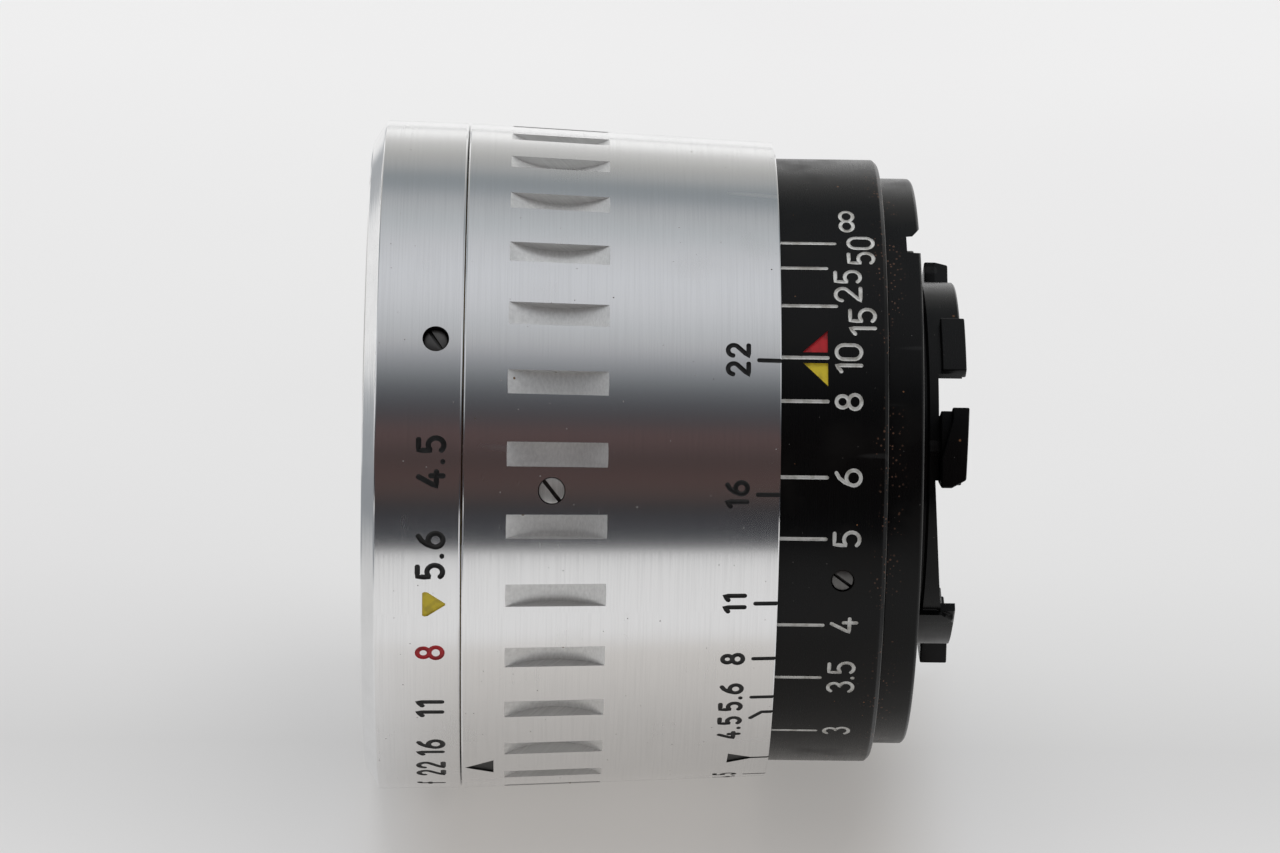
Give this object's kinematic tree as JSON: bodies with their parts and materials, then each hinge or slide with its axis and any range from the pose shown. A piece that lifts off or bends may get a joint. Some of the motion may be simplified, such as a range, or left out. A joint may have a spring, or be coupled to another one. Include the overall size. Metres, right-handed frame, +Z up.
{
  "type": "camera lens",
  "caption": "Compact wide-angle prime lens with a slotted focus barrel, a front aperture ring, engraved scales and a three-claw bayonet mount.",
  "frame": {"origin": "bottom centre of the lens's box, on the surface that it lies on", "axes": "+X along the optical axis from the front glass to the bayonet mount, +Z up; the focus index faces -Y"},
  "size_m": [0.0472, 0.054, 0.054],
  "materials": {
    "satin_aluminium": "satin turned, fine circumferential lines",
    "black_anodised": "satin black anodised",
    "brass": "machined",
    "steel": "machined",
    "blackened_steel": "matt blackened",
    "coated_glass": "polished, single coated"
  },
  "bodies": {
    "mount": {"distance_ring": "black_anodised", "fixed_helicoid": "brass", "mount_ring": "black_anodised", "bayonet_tube": "black_anodised", "rear_light_shield": "black_anodised", "focus_stop_pin": "steel", "mount_screw_1": "steel", "mount_screw_2": "steel", "mount_screw_3": "steel", "distance_ring_screw_1": "steel", "distance_ring_screw_2": "steel", "distance_ring_screw_3": "steel"},
    "key_ring": {"focus_key_ring": "steel"},
    "focus_group": {"focus_barrel": "satin_aluminium", "helicoid_tube": "brass", "front_ring": "black_anodised", "front_element": "coated_glass", "front_cell": "black_anodised", "second_element": "coated_glass", "second_retaining_ring": "black_anodised", "iris_base": "black_anodised", "rear_cell": "black_anodised", "third_element": "coated_glass", "spacer_ring": "brass", "rear_element": "coated_glass", "rear_retaining_ring": "black_anodised", "click_ball": "steel", "click_spring": "steel", "barrel_screw_1": "steel", "barrel_screw_2": "steel", "barrel_screw_3": "steel"},
    "aperture_group": {"aperture_ring": "satin_aluminium", "drive_sleeve": "brass", "iris_cam_ring": "brass", "drive_pin": "steel", "aperture_ring_screw_1": "steel", "aperture_ring_screw_2": "steel", "aperture_ring_screw_3": "steel"},
    "blade_1": {"iris_blade_1": "blackened_steel"},
    "blade_2": {"iris_blade_2": "blackened_steel"},
    "blade_3": {"iris_blade_3": "blackened_steel"},
    "blade_4": {"iris_blade_4": "blackened_steel"},
    "blade_5": {"iris_blade_5": "blackened_steel"}
  },
  "joints": [
    {"name": "focus_turn", "type": "hinge", "parent": "mount", "child": "key_ring", "pos_m": [0, 0, 0.027], "axis": [1, 0, 0], "range_deg": [-117.1, 1.5]},
    {"name": "focus_travel", "type": "slide", "parent": "key_ring", "child": "focus_group", "axis": [1, 0, 0], "range_m": [-0.00005, 0.0016]},
    {"name": "aperture_turn", "type": "hinge", "parent": "focus_group", "child": "aperture_group", "pos_m": [0, 0, 0.027], "axis": [1, 0, 0], "range_deg": [0, 66.1]},
    {"name": "blade_swing_1", "type": "hinge", "parent": "focus_group", "child": "blade_1", "pos_m": [-0.0006, 0, 0.0138], "axis": [1, 0, 0], "range_deg": [-14, 0.1]},
    {"name": "blade_swing_2", "type": "hinge", "parent": "focus_group", "child": "blade_2", "pos_m": [-0.00092, 0.01255, 0.02292], "axis": [1, 0, 0], "range_deg": [-14, 0.1]},
    {"name": "blade_swing_3", "type": "hinge", "parent": "focus_group", "child": "blade_3", "pos_m": [-0.00124, 0.00776, 0.03768], "axis": [1, 0, 0], "range_deg": [-14, 0.1]},
    {"name": "blade_swing_4", "type": "hinge", "parent": "focus_group", "child": "blade_4", "pos_m": [-0.00156, -0.00776, 0.03768], "axis": [1, 0, 0], "range_deg": [-14, 0.1]},
    {"name": "blade_swing_5", "type": "hinge", "parent": "focus_group", "child": "blade_5", "pos_m": [-0.00188, -0.01255, 0.02292], "axis": [1, 0, 0], "range_deg": [-14, 0.1]}
  ],
  "couplings": [
    {"joint": "focus_travel", "follows": "focus_turn", "m_per_rad": -0.00076},
    {"joint": "blade_swing_1", "follows": "aperture_turn", "ratio": -0.21029},
    {"joint": "blade_swing_2", "follows": "aperture_turn", "ratio": -0.21029},
    {"joint": "blade_swing_3", "follows": "aperture_turn", "ratio": -0.21029},
    {"joint": "blade_swing_4", "follows": "aperture_turn", "ratio": -0.21029},
    {"joint": "blade_swing_5", "follows": "aperture_turn", "ratio": -0.21029}
  ]
}
